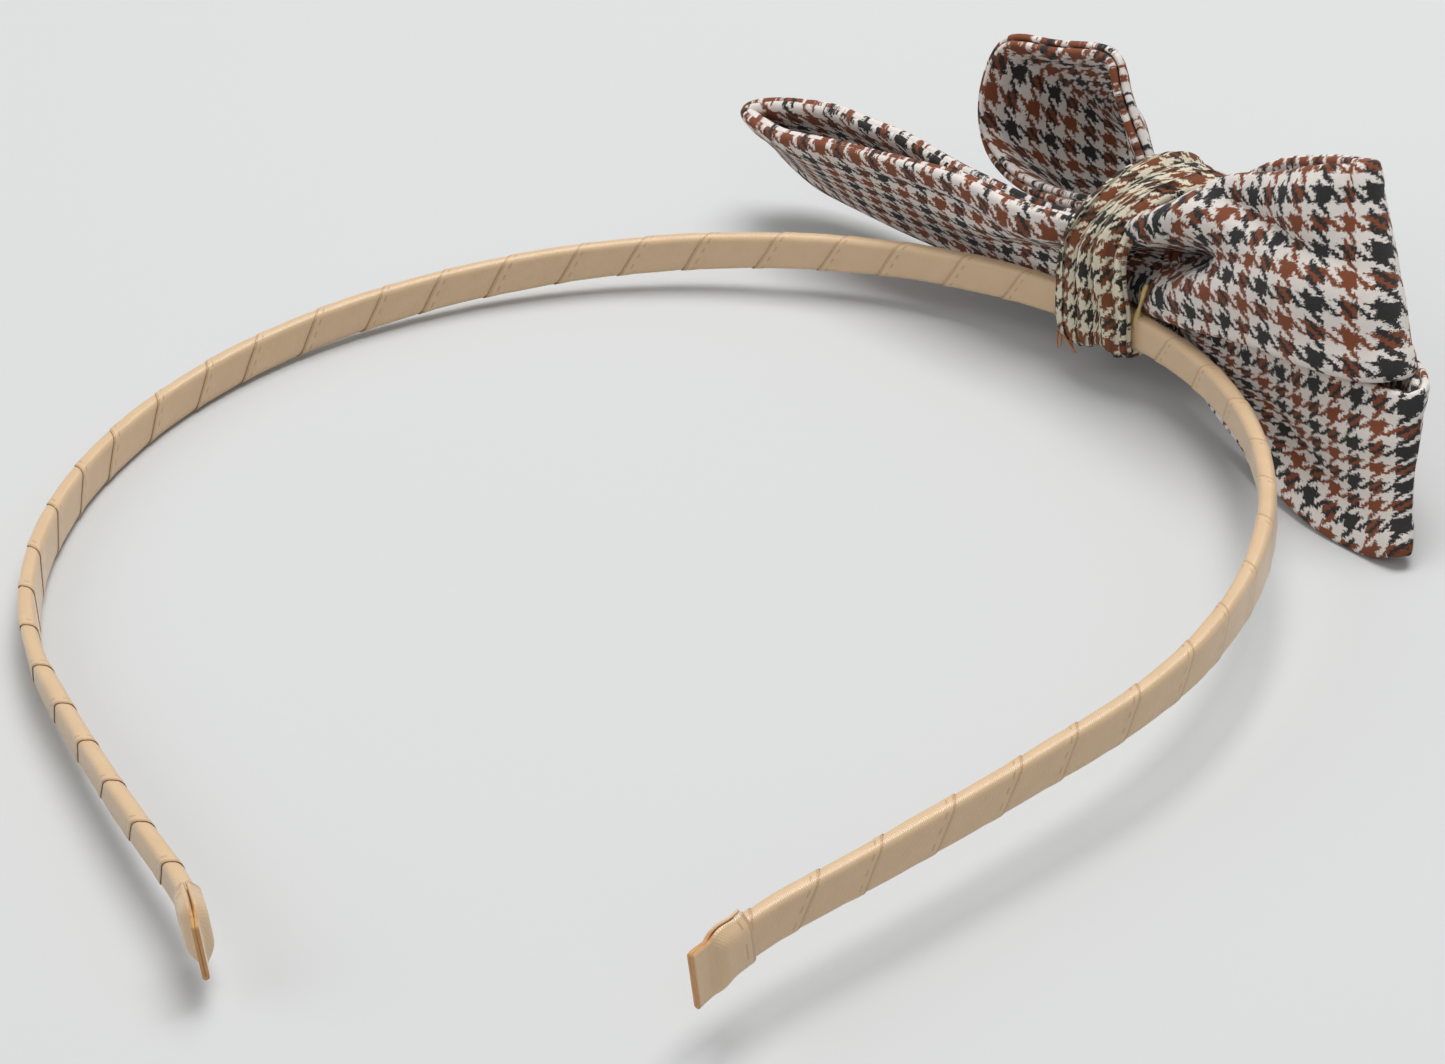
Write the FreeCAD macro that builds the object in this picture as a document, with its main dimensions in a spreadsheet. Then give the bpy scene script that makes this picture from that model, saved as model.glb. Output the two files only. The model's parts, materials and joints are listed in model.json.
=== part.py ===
import FreeCAD, Part
import math
import os
import Sketcher

# A slim headband with a double bow, lying on a table on its side: the band is a flat spring strip
# wound with satin ribbon, and the bow is two folded cloth strips crossed at a bound waist.
# The strip flexes, so each leg turns on a thin flex line. Lengths are in millimetres, angles in degrees.

X, Y, Z = FreeCAD.Vector(1, 0, 0), FreeCAD.Vector(0, 1, 0), FreeCAD.Vector(0, 0, 1)
Vector = FreeCAD.Vector
SAME_POINT = 1e-6

# name, value, what it is. A reach is a length measured along the band's mid line.
SIZES = [
    ("crown_radius", 74.5, "bend of the band over the head"),
    ("crown_reach", 50.5, "half of the crown's bend"),
    ("shoulder_radius", 60.5, "bend of the band above the ear"),
    ("shoulder_reach", 93, "length of that bend, each side"),
    ("leg_radius", 500, "slight bend of the leg behind the ear"),
    ("leg_reach", 39.5, "length of the leg"),
    ("flare_radius", 43.5, "outward bend of the tip"),
    ("flare_reach", 14.5, "length of the tip"),
    ("core_width", 4.2, "spring strip, across the band"),
    ("core_thickness", 0.9, "spring strip, through the band"),
    ("core_clearance", 0.05, "tape between strip and ribbon"),
    ("band_width", 4.8, "over the ribbon, across the band"),
    ("band_thickness", 2.0, "over the ribbon, through the band"),
    ("flex_reach", 112, "crown's centre to the flex line"),
    ("flex_gap", 0.4, "room left at the flex line"),
    ("cover_reach", 7.0, "ribbon folded round the tip"),
    ("cover_overlap", 3.8, "how much of it lies over the wound ribbon"),
    ("cover_wall", 0.35, "ribbon with its glue"),
    ("cover_clearance", 0.05, "between the cover and the wound ribbon"),
    ("bow_reach", 46, "crown's centre to the bow's waist"),
    ("strip_width", 24, "folded cloth strip, flat"),
    ("strip_wall", 2.6, "folded cloth strip, through its plies"),
    ("waist_width", 10, "gathered strip at the waist"),
    ("waist_lift", 6.5, "waist's centre above the band's mid plane"),
    ("waist_left", -0.5, "left end of the gathered waist"),
    ("waist_run", 9, "length of the gathered waist"),
    ("gather_run", 22, "length over which a strip spreads from the waist"),
    ("ear_reach", 60, "lower left loop"),
    ("ear_depth", 8, "over its two walls"),
    ("ear_end", 11, "its width at the fold"),
    ("ear_swing", 182.4, "turn about the band's width"),
    ("ear_rise", -1.9, "tilt up"),
    ("ear_lean", -45, "turn about its own length"),
    ("curl_reach", 25.5, "upper left loop"),
    ("curl_depth", 16, "over its two walls"),
    ("curl_end", 20, "its width at the fold"),
    ("curl_swing", 163.6, "turn about the band's width"),
    ("curl_rise", 34, "tilt up"),
    ("curl_lean", -29.4, "turn about its own length"),
    ("wing_reach", 41, "upper right loop"),
    ("wing_depth", 14, "over its two walls"),
    ("wing_end", 22, "its width at the fold"),
    ("wing_swing", -3.6, "turn about the band's width"),
    ("wing_rise", 15.7, "tilt up"),
    ("wing_lean", -11.4, "turn about its own length"),
    ("sweep_reach", 48.5, "lower right loop"),
    ("sweep_depth", 7, "over its two walls"),
    ("sweep_end", 17, "its width at the fold"),
    ("sweep_swing", -16, "turn about the band's width"),
    ("sweep_rise", -10.2, "tilt up"),
    ("sweep_lean", -16, "turn about its own length"),
    ("thread_thickness", 0.5, "wound gathering thread"),
    ("thread_run", 2.0, "width of its turns"),
    ("glue_thickness", 0.8, "glue between the band and the bow"),
    ("glue_drop", 2, "below the band's mid plane"),
    ("glue_height", 6, "across the band"),
    ("knot_radius", 10.5, "outer bend of the centre strip"),
    ("knot_wall", 1.5, "folded centre strip"),
    ("knot_width", 11.5, "along the band"),
    ("knot_slant", 18, "lean of the centre strip"),
    ("knot_left", -2.7, "left edge of the centre strip at the band's mid plane"),
    ("knot_corner", 1.8, "outer bend under the band"),
    ("knot_slack", 0.7, "room at the band's inner face, which curves"),
    ("knot_fit", 0.1, "room at the band's edge"),
    ("lie_roll", 3.2, "the bow props the band's right side up"),
    ("lie_pitch", -1.0, "the tips' end up or down"),
]

doc = FreeCAD.newDocument("headband")
sheet = doc.addObject("Spreadsheet::Sheet", "Sizes")
for row, (alias, value, meaning) in enumerate(SIZES, 1):
    sheet.set(f"A{row}", meaning)
    sheet.set(f"B{row}", str(value))
    sheet.setAlias(f"B{row}", alias)
doc.recompute()


def size(alias):
    return float(sheet.get(alias))


def total(*parts):
    """A sum of sizes, each a name or (factor, name), as its value and its expression."""
    pairs = [part if isinstance(part, tuple) else (1, part) for part in parts]
    value = sum(factor * size(name) for factor, name in pairs)
    return value, " + ".join(f"({factor}) * Sizes.{name}" for factor, name in pairs)


# ---- the band's mid line: tangent arcs, the same on both sides of the crown's centre ----

RUNS = ["crown", "shoulder", "leg", "flare"]


def run_ends():
    """Distance from the crown's centre at which each run ends."""
    ends, reach = [], 0.0
    for run in RUNS:
        reach += size(run + "_reach")
        ends.append(reach)
    return ends


def turn(run):
    """The band turns inward, except at its tips."""
    return 1 if run == "flare" else -1


def station(reach):
    """Point and heading of the mid line, at a distance from the crown's centre; right is positive."""
    point, heading, left = Vector(0, 0, 0), 0.0, abs(reach)
    for run in RUNS:
        radius, length = size(run + "_radius"), min(left, size(run + "_reach"))
        inward = Vector(-math.sin(heading), math.cos(heading), 0) * turn(run)
        centre = point + inward * radius
        heading += turn(run) * length / radius
        point = centre - Vector(-math.sin(heading), math.cos(heading), 0) * turn(run) * radius
        left -= length
    if reach < 0:
        return Vector(-point.x, point.y, 0), -heading
    return point, heading


def stretches(start, end):
    """The runs between two distances along the band, left to right: name, start, end."""
    found, low = [], 0.0
    for run, high in zip(RUNS, run_ends()):
        found.append((run, low, high))
        low = high
    both = [(run, -b, -a) for run, a, b in reversed(found)] + found
    clipped = [(run, max(a, start), min(b, end)) for run, a, b in both]
    return [(run, a, b) for run, a, b in clipped if b - a > SAME_POINT]


def add_sketch(body, name, plane):
    sketch = body.newObject("Sketcher::SketchObject", name)
    flat = next(f for f in body.Origin.OriginFeatures if f.Role == plane)
    sketch.AttachmentSupport = (flat, "")
    sketch.MapMode = "FlatFace"
    return sketch


def bind(sketch, name, expression, *rule):
    """A dimension of a sketch that follows the sheet."""
    index = sketch.addConstraint(Sketcher.Constraint(*rule))
    sketch.renameConstraint(index, name)
    sketch.setExpression("Constraints." + name, expression)


def join(sketch, first, first_end, second, second_end):
    sketch.addConstraint(Sketcher.Constraint("Coincident", first, first_end, second, second_end))


def face_arcs(sketch, side, start, end, thickness):
    """One face of a band: its arcs, each with the sketch's names of its left and right ends."""
    half, expression = thickness[0] / 2, thickness[1]
    arcs = []
    for run, a, b in stretches(start, end):
        sign = side if turn(run) < 0 else -side
        radius = size(run + "_radius") + sign * half
        (point, first), (_, last) = station(a), station(b)
        normal = Vector(-math.sin(first), math.cos(first), 0)
        centre = point + normal * turn(run) * size(run + "_radius")
        quarter = -turn(run) * math.pi / 2
        low, high = sorted((first + quarter, last + quarter))
        circle = Part.Circle(centre, Z, radius)
        arc = sketch.addGeometry(Part.ArcOfCircle(circle, low, high))
        left_end, right_end = (2, 1) if turn(run) < 0 else (1, 2)
        bind(sketch, f"{run}_{'outer' if side > 0 else 'inner'}_{arc}",
             f"Sizes.{run}_radius + ({sign}) * ({expression}) / 2", "Radius", arc, radius)
        arcs.append((arc, left_end, right_end))
    for (one, _, one_end), (two, two_end, _) in zip(arcs, arcs[1:]):
        join(sketch, one, one_end, two, two_end)
    return arcs


def band_outline(body, name, start, end, thickness):
    """A closed outline that follows the band's mid line from one distance to another."""
    sketch = add_sketch(body, name, "XY_Plane")
    outer = face_arcs(sketch, 1, start, end, thickness)
    inner = face_arcs(sketch, -1, start, end, thickness)
    for reach, pick in ((start, 0), (end, -1)):
        point, heading = station(reach)
        across = Vector(-math.sin(heading), math.cos(heading), 0) * thickness[0] / 2
        cap = sketch.addGeometry(Part.LineSegment(point + across, point - across))
        tip = 1 if pick == 0 else 2
        join(sketch, cap, 1, outer[pick][0], outer[pick][tip])
        join(sketch, cap, 2, inner[pick][0], inner[pick][tip])
    return sketch


def pad(body, sketch, length):
    feature = body.newObject("PartDesign::Pad", sketch.Name + "_pad")
    feature.Profile = sketch
    feature.SideType = "Symmetric"
    feature.setExpression("Length", length[1])


def pocket(body, sketch, length):
    feature = body.newObject("PartDesign::Pocket", sketch.Name + "_pocket")
    feature.Profile = sketch
    feature.SideType = "Symmetric"
    feature.setExpression("Length", length[1])


def new_body(name):
    body = doc.addObject("PartDesign::Body", name)
    body.Label = name
    return body


# ---- the band: spring strip, wound ribbon and tip covers ----

def core(name, start, end):
    """A stretch of the spring strip."""
    body = new_body(name)
    pad(body, band_outline(body, name + "_face", start, end, total("core_thickness")),
        total("core_width"))
    return body


def ribbon(name, start, end):
    """The satin ribbon wound over a stretch of the strip, as the sleeve that its turns make."""
    body = new_body(name)
    pad(body, band_outline(body, name + "_face", start, end, total("band_thickness")),
        total("band_width"))
    room = total("core_thickness", (2, "core_clearance"))
    pocket(body, band_outline(body, name + "_room", start, end, room),
           total("core_width", (2, "core_clearance")))
    return body


def tip_cover(name, start, end, seat_start, seat_end):
    """The short ribbon folded round a tip: it holds the wound end, and is pinched flat beyond it."""
    body = new_body(name)
    skin = [(2, "cover_wall"), (2, "cover_clearance")]
    pad(body, band_outline(body, name + "_face", start, end, total("band_thickness", *skin)),
        total("band_width", *skin))
    seat = total("band_thickness", (2, "cover_clearance"))
    pocket(body, band_outline(body, name + "_seat", seat_start, seat_end, seat),
           total("band_width", (2, "cover_clearance")))
    return body


band_end = run_ends()[-1]
cover_start = band_end - size("cover_reach")
wound_end = cover_start + size("cover_overlap")
flex = size("flex_reach")
leg_start = flex + size("flex_gap") / 2
crown_end = flex - size("flex_gap") / 2

band_nodes = [
    core("core_crown", -crown_end, crown_end),
    core("core_left_leg", -wound_end, -leg_start),
    core("core_right_leg", leg_start, wound_end),
    ribbon("ribbon_crown", -crown_end, crown_end),
    ribbon("ribbon_left_leg", -wound_end, -leg_start),
    ribbon("ribbon_right_leg", leg_start, wound_end),
    tip_cover("tip_cover_left", -band_end, -cover_start, -wound_end, -cover_start),
    tip_cover("tip_cover_right", cover_start, band_end, cover_start, wound_end),
]


# ---- the bow, in its own frame: x along the band, y outward from its outer face, z across it ----

def teardrop(body, name, reach, depth, wall):
    """The walls of a loop, seen along the strip's width: they leave the waist and meet in a fold."""
    sketch = add_sketch(body, name, "XY_Plane")
    centre, radius = reach[0] - depth[0] / 2, depth[0] / 2
    slope = math.asin(radius / math.hypot(centre, wall[0])) - math.atan2(wall[0], centre)
    room = radius - wall[0]
    starts = {"outer": Vector(0, wall[0], 0), "room": Vector(centre - room / math.sin(slope), 0, 0)}
    half = f"({depth[1]}) / 2"
    bends = {"outer": (radius, half), "room": (room, f"{half} - ({wall[1]})")}
    for face, start in starts.items():
        bend, expression = bends[face]
        touch = Vector(centre - bend * math.sin(slope), bend * math.cos(slope), 0)
        circle = Part.Circle(Vector(centre, 0, 0), Z, bend)
        fold = sketch.addGeometry(Part.ArcOfCircle(circle, -math.pi / 2 - slope, math.pi / 2 + slope))
        upper = sketch.addGeometry(Part.LineSegment(start, touch))
        lower = sketch.addGeometry(Part.LineSegment(flip(start), flip(touch)))
        join(sketch, upper, 2, fold, 2)
        join(sketch, lower, 2, fold, 1)
        bind(sketch, face + "_bend", expression, "Radius", fold, bend)
        bind(sketch, face + "_fold", f"{reach[1]} - {half}", "DistanceX", -1, 1, fold, 3, centre)
        if face == "outer":
            root = sketch.addGeometry(Part.LineSegment(start, flip(start)))
            join(sketch, root, 1, upper, 1)
            join(sketch, root, 2, lower, 1)
        else:
            join(sketch, upper, 1, lower, 1)
    return sketch


def flip(point):
    return Vector(point.x, -point.y, 0)


def polygon(sketch, corners):
    """Straight edges through the corners; each edge's number is given back."""
    edges = [sketch.addGeometry(Part.LineSegment(Vector(*a, 0), Vector(*b, 0)))
             for a, b in zip(corners, corners[1:] + corners[:1])]
    for one, two in zip(edges, edges[1:] + edges[:1]):
        join(sketch, one, 2, two, 1)
    return edges


def trim_to(body, name, corners, frame, depth):
    """Cut away all that lies outside an outline on the body's XZ plane."""
    sketch = add_sketch(body, name, "XZ_Plane")
    polygon(sketch, [(-frame, -frame), (frame, -frame), (frame, frame), (-frame, frame)])
    edges = polygon(sketch, corners)
    pocket(body, sketch, depth)
    return sketch, edges


def loop(name, root):
    """One loop of a folded strip: gathered at the waist, widest half way, drawn in at its fold."""
    body = new_body(name)
    reach, depth = size(name + "_reach"), total((2, name + "_depth"))
    walls = teardrop(body, name + "_walls", total(name + "_reach"), total(name + "_depth"),
                     total("strip_wall"))
    pad(body, walls, total("strip_width"))
    waist, full, end = size("waist_width") / 2, size("strip_width") / 2, size(name + "_end") / 2
    gather = min(size("gather_run"), reach / 2)
    outline = [(0, -waist), (gather, -full), (reach, -end), (reach, end), (gather, full), (0, waist)]
    sketch, edges = trim_to(body, name + "_gather", outline, 3 * reach, depth)
    bind(sketch, "waist", "Sizes.waist_width", "DistanceY", edges[0], 1, edges[5], 1, 2 * waist)
    bind(sketch, "full", "Sizes.strip_width", "DistanceY", edges[1], 1, edges[4], 1, 2 * full)
    bind(sketch, "end", f"Sizes.{name}_end", "DistanceY", edges[2], 1, edges[3], 1, 2 * end)
    turned = FreeCAD.Rotation(size(name + "_swing"), -size(name + "_rise"), size(name + "_lean"))
    bow_pieces.append((body, FreeCAD.Placement(root, turned)))
    return body


def block(name, corner, length, width, height):
    """A plain block of the bow, from its low corner."""
    piece = doc.addObject("Part::Box", name)
    piece.Label = name
    for side, (_, expression) in (("Length", length), ("Width", width), ("Height", height)):
        piece.setExpression(side, expression)
    bow_pieces.append((piece, FreeCAD.Placement(corner, FreeCAD.Rotation())))
    return piece


def joined(name, *pieces):
    """One strip: its loops and its gathered middle are one length of cloth."""
    strip = doc.addObject("Part::MultiFuse", name)
    strip.Label = name
    strip.Shapes = list(pieces)
    return strip


def pressed(name, whole, against):
    """Cloth pressed against another piece, which it takes the shape of where they meet."""
    piece = doc.addObject("Part::Cut", name)
    piece.Label = name
    piece.Base, piece.Tool = whole, against
    return piece


def strap_outline(body, name, inset):
    """The centre strip's path round the band and the waist: flat in front, round behind."""
    sketch = add_sketch(body, name, "YZ_Plane")
    bend, corner = size("knot_radius") - inset, size("knot_corner") - inset
    front, under = strap_front + inset, strap_under + inset
    middle = Vector(front + bend, under + bend, 0)
    turn_in = Vector(front + corner, under + corner, 0)
    back = sketch.addGeometry(Part.ArcOfCircle(Part.Circle(middle, Z, bend), -math.pi / 2, math.pi))
    face = sketch.addGeometry(
        Part.LineSegment(Vector(front, middle.y, 0), Vector(front, turn_in.y, 0)))
    small = sketch.addGeometry(
        Part.ArcOfCircle(Part.Circle(turn_in, Z, corner), math.pi, 3 * math.pi / 2))
    base = sketch.addGeometry(
        Part.LineSegment(Vector(turn_in.x, under, 0), Vector(middle.x, under, 0)))
    join(sketch, back, 2, face, 1)
    join(sketch, face, 2, small, 1)
    join(sketch, small, 2, base, 1)
    join(sketch, base, 2, back, 1)
    wall = " - Sizes.knot_wall" if inset else ""
    bind(sketch, "bend", "Sizes.knot_radius" + wall, "Radius", back, bend)
    bind(sketch, "corner", "Sizes.knot_corner" + wall, "Radius", small, corner)
    return sketch


def centre_strap():
    """The strip that binds the bow's waist to the band, leaning as it goes up."""
    body = new_body("centre_strap_straight")
    room = total((4, "knot_radius"))
    pad(body, strap_outline(body, "strap_path", 0), room)
    pocket(body, strap_outline(body, "strap_room", size("knot_wall")), room)
    lean, width = math.tan(math.radians(size("knot_slant"))), size("knot_width")
    low, high, left = strap_under - 1, strap_under + 2 * size("knot_radius") + 1, size("knot_left")
    outline = [(left + low * lean, low), (left + low * lean + width, low),
               (left + high * lean + width, high), (left + high * lean, high)]
    sketch, edges = trim_to(body, "strap_sides", outline, 5 * size("knot_radius"), room)
    bind(sketch, "width", "Sizes.knot_width", "DistanceX", edges[0], 1, edges[0], 2, width)
    bow_pieces.append((body, FreeCAD.Placement()))
    return body


def thread_ring():
    """The gathering thread, as the band that its turns make round the waist."""
    body = new_body("gathering_thread")
    deep, tall = 4 * size("strip_wall"), size("waist_width")
    for name, grow in (("thread_turns", size("thread_thickness")), ("thread_room", 0)):
        sketch = add_sketch(body, name, "YZ_Plane")
        low, high = waist_low - grow, waist_low + tall + grow
        near, far = waist_near - grow, waist_near + deep + grow
        edges = polygon(sketch, [(near, low), (far, low), (far, high), (near, high)])
        thick = " + 2 * Sizes.thread_thickness" if grow else ""
        bind(sketch, "deep", "4 * Sizes.strip_wall" + thick,
             "DistanceX", edges[0], 1, edges[0], 2, far - near)
        bind(sketch, "tall", "Sizes.waist_width" + thick,
             "DistanceY", edges[1], 1, edges[1], 2, high - low)
        (pad if grow else pocket)(body, sketch, total("thread_run"))
    bow_pieces.append((body, FreeCAD.Placement(Vector(waist_middle, 0, 0), FreeCAD.Rotation())))
    return body


bow_pieces = []
strap_front = -(size("band_thickness") + size("knot_slack") + size("knot_wall"))
strap_under = -(size("band_width") / 2 + size("knot_fit") + size("knot_wall"))
waist_near = size("glue_thickness") + size("thread_thickness")
waist_low = size("waist_lift") - size("waist_width") / 2
waist_left = size("waist_left")
waist_middle, waist_right = waist_left + size("waist_run") / 2, waist_left + size("waist_run")
front, back = waist_near + size("strip_wall"), waist_near + 3 * size("strip_wall")
lift = size("waist_lift")

ear = loop("ear", Vector(waist_left, front, lift))
curl = loop("curl", Vector(waist_left, back, lift))
wing = loop("wing", Vector(waist_right, front, lift))
sweep = loop("sweep", Vector(waist_right, back, lift))
gathered = [total("waist_run"), total((2, "strip_wall")), total("waist_width")]
front_waist = block("front_waist", Vector(waist_left, waist_near, waist_low), *gathered)
back_waist = block("back_waist", Vector(waist_left, front + size("strip_wall"), waist_low), *gathered)
strip_front = joined("bow_strip_front", ear, front_waist, wing)
strip_back = pressed("bow_strip_back", joined("back_strip_free", curl, back_waist, sweep), strip_front)
thread = thread_ring()
bound_waist = joined("bound_waist", strip_front, strip_back, thread)
centre_strip = pressed("bow_centre_strip", centre_strap(), bound_waist)
glue = block("glue_pad", Vector(waist_left, 0, -size("glue_drop")),
             total("waist_run"), total("glue_thickness"), total("glue_height"))

sub_parts = band_nodes + [strip_front, strip_back, centre_strip, thread, glue]


# ---- how it lies: rolled so that the bow's lowest corner and the band's left side touch the table ----

def lay_down(place):
    """Give every piece its place, with the band's frame at the place given."""
    waist, heading = station(size("bow_reach"))
    outward = Vector(-math.sin(heading), math.cos(heading), 0)
    bow = FreeCAD.Placement(waist + outward * size("band_thickness") / 2,
                            FreeCAD.Rotation(Z, math.degrees(heading)))
    for body in band_nodes:
        body.Placement = place
    for piece, own in bow_pieces:
        piece.Placement = place.multiply(bow).multiply(own)
    doc.recompute()


def whole_box():
    """The box round every sub-part, as its low and high corners."""
    boxes = [part.Shape.optimalBoundingBox(False) for part in sub_parts]
    low = Vector(*(min(getattr(box, side) for box in boxes) for side in ("XMin", "YMin", "ZMin")))
    high = Vector(*(max(getattr(box, side) for box in boxes) for side in ("XMax", "YMax", "ZMax")))
    return low, high


rolled = FreeCAD.Rotation(X, size("lie_pitch")).multiply(FreeCAD.Rotation(Y, -size("lie_roll")))
lay_down(FreeCAD.Placement(Vector(0, 0, 0), rolled))
low, high = whole_box()
lay_down(FreeCAD.Placement(Vector(-(low.x + high.x) / 2, -(low.y + high.y) / 2, -low.z), rolled))


# ---- checks, then one file for each sub-part ----

for item in doc.Objects:
    if {"Invalid", "Error"} & set(item.State):
        raise RuntimeError(f"{item.Name} did not build: {item.State}")
for part in sub_parts:
    if part.Shape.isNull() or not part.Shape.isValid() or len(part.Shape.Solids) != 1:
        raise RuntimeError(f"{part.Label} is not one valid solid")

os.makedirs("parts", exist_ok=True)
for part in sub_parts:
    part.Shape.exportStep(f"parts/{part.Label}.step")
low, high = whole_box()
print("size", [round(high[i] - low[i], 2) for i in range(3)])
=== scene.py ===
import json
import math

import bmesh
import bpy
import numpy as np
from mathutils import Matrix, Vector


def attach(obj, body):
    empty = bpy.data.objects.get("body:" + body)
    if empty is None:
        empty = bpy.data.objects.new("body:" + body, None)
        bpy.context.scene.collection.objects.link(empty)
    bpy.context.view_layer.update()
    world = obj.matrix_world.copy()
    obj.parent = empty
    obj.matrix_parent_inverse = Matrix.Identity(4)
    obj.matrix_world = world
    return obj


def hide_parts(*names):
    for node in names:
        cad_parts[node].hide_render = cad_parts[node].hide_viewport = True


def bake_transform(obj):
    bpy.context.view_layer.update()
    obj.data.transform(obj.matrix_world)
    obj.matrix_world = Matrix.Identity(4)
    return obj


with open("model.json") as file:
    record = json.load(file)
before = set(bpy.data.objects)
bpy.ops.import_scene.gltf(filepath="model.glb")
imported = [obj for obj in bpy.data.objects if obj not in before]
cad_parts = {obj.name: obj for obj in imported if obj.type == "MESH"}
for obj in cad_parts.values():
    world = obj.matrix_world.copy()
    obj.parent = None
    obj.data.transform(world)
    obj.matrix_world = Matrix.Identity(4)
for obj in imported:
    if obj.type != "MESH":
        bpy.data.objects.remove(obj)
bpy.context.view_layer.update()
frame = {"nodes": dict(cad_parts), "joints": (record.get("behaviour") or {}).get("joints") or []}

# ---- Where the band lies ----
# The band is a flat, even curve that lies tilted on the table, propped by its bow. Its two flex lines give
# its own axes: across from ear to ear, from the tips to the crown, and up through its width.

hinges = {joint["name"]: joint for joint in frame["joints"]}
left_ear = np.array(hinges["left_leg_flex"]["pos_m"])
right_ear = np.array(hinges["right_leg_flex"]["pos_m"])
up = np.array(hinges["right_leg_flex"]["axis"])
across = (right_ear - left_ear) / np.linalg.norm(right_ear - left_ear)
to_crown = np.cross(up, across)

MM = 0.001
BAND_WIDTH, BAND_THICKNESS = 4.8, 2.0
FLEX_REACH = 112.0  # from the crown's centre to a flex line, along the band
# crown, shoulder, leg and flared tip: bend radius and length in mm, and which way each turns
BENDS = [(74.5, 50.5, -1), (60.5, 93.0, -1), (500.0, 39.5, -1), (43.5, 14.5, 1)]
BAND_END = sum(length for _, length, _ in BENDS)


def mid_line(reach):
    """The band's middle line at distances from the crown's centre: x, y and heading, in mm."""
    away, x, y, heading = np.abs(reach), 0.0, 0.0, 0.0
    for radius, length, turn in BENDS:
        run = np.clip(away, 0, length)
        ahead = heading + turn * run / radius
        x = x + turn * radius * (np.sin(ahead) - np.sin(heading))
        y = y - turn * radius * (np.cos(ahead) - np.cos(heading))
        away, heading = away - run, ahead
    side = np.where(np.asarray(reach) < 0, -1.0, 1.0)
    return x * side, y, heading * side


def in_row(x, y, z):
    """Millimetres on the band's axes, as places on the table in metres."""
    x, y, z = np.broadcast_arrays(x, y, z)
    return band_origin + (x[..., None] * across + y[..., None] * to_crown + z[..., None] * up) * MM


def on_band(reach, out, high):
    """A place by the band: distance along it, outward from its middle line, and across its width."""
    x, y, heading = mid_line(reach)
    return in_row(x - out * np.sin(heading), y + out * np.cos(heading), high)


_, flex_y, flex_heading = mid_line(FLEX_REACH)
band_origin = (left_ear + right_ear) / 2 - to_crown * MM * (
    flex_y + BAND_THICKNESS / 2 * np.cos(flex_heading))

# ---- The viewpoint ----
# A long lens looks down on the band from beyond its tips and a little to the bow's side.

LENS = 96.4
EYE = (114.68, -414.26, 224.36)
VIEW_RIGHT = (0.9691, 0.2212, -0.1095)
VIEW_DOWN = (0.0267, -0.5350, -0.8444)
VIEW_AHEAD = (-0.2453, 0.8154, -0.5243)

bpy.ops.object.select_all(action="DESELECT")
bpy.ops.object.camera_add()
camera = bpy.context.object
axes = np.array([across, to_crown, up])
turned = np.array([np.array(VIEW_RIGHT) @ axes, -np.array(VIEW_DOWN) @ axes, -np.array(VIEW_AHEAD) @ axes])
camera.matrix_world = Matrix.Translation(in_row(*EYE).tolist()) @ Matrix(turned.T.tolist()).to_4x4()
camera.data.lens = LENS
camera.data.sensor_width = 36
camera.data.clip_start, camera.data.clip_end = 0.01, 20
bpy.context.scene.camera = camera

# ---- Table and light ----
# A pale matt tabletop with no edge in view. The light is broad and soft: one large sheet of it above and
# behind the crown, and two weaker ones, from the left and the front, so the shadows fall softly to the tips.


def linear(hex_colour):
    """An sRGB hex colour as the linear colour that a shader takes."""
    parts = [int(hex_colour[i:i + 2], 16) / 255 for i in (1, 3, 5)]
    return [p / 12.92 if p <= 0.04045 else ((p + 0.055) / 1.055) ** 2.4 for p in parts] + [1.0]


def add_node(material, kind, links=None, **settings):
    """A shader node with its settings, and its inputs set to values or linked to other nodes' outputs."""
    node = material.node_tree.nodes.new("ShaderNode" + kind)
    for name, value in settings.items():
        setattr(node, name, value)
    for name, value in (links or {}).items():
        if isinstance(value, bpy.types.NodeSocket):
            material.node_tree.links.new(value, node.inputs[name])
        else:
            node.inputs[name].default_value = value
    return node


def new_material(name):
    """A material with nothing in it but a Principled shader on its output."""
    material = bpy.data.materials.new(name)
    material.use_nodes = True
    material.node_tree.nodes.clear()
    shader = add_node(material, "BsdfPrincipled")
    add_node(material, "OutputMaterial", {"Surface": shader.outputs["BSDF"]})
    return material, shader


def link(material, socket, shader, name):
    material.node_tree.links.new(socket, shader.inputs[name])


bpy.ops.mesh.primitive_plane_add(size=6)
table = bpy.context.object
table.name = "tabletop"
laminate, shader = new_material("matt_white_laminate")
cloudy = add_node(laminate, "TexNoise", {"Scale": 1.5, "Detail": 2.0})
tint = add_node(laminate, "MixRGB", {"Fac": cloudy.outputs["Fac"],
                                     "Color1": linear("#C4C5C4"), "Color2": linear("#C8C8C8")})
link(laminate, tint.outputs["Color"], shader, "Base Color")
shader.inputs["Roughness"].default_value = 0.7
shader.inputs["Specular IOR Level"].default_value = 0.2
table.data.materials.append(laminate)


def soft_light(name, place, size, power):
    bpy.ops.object.light_add(type="AREA", location=place)
    lamp = bpy.context.object
    lamp.name = name
    lamp.data.size = size
    lamp.data.energy = power
    lamp.rotation_euler = (-Vector(place)).to_track_quat("-Z", "Y").to_euler()


soft_light("sheet_above_crown", (0.12, 0.30, 1.1), 0.7, 12.0)
soft_light("sheet_left", (-1.1, -0.3, 0.8), 0.9, 4.0)
soft_light("sheet_front", (0.6, -1.2, 0.9), 1.0, 1.8)

world = bpy.data.worlds.new("studio")
bpy.context.scene.world = world
world.use_nodes = True
world.node_tree.nodes["Background"].inputs["Color"].default_value = linear("#F0F3F5")
world.node_tree.nodes["Background"].inputs["Strength"].default_value = 0.44
bpy.context.scene.view_settings.view_transform = "Standard"

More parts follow.
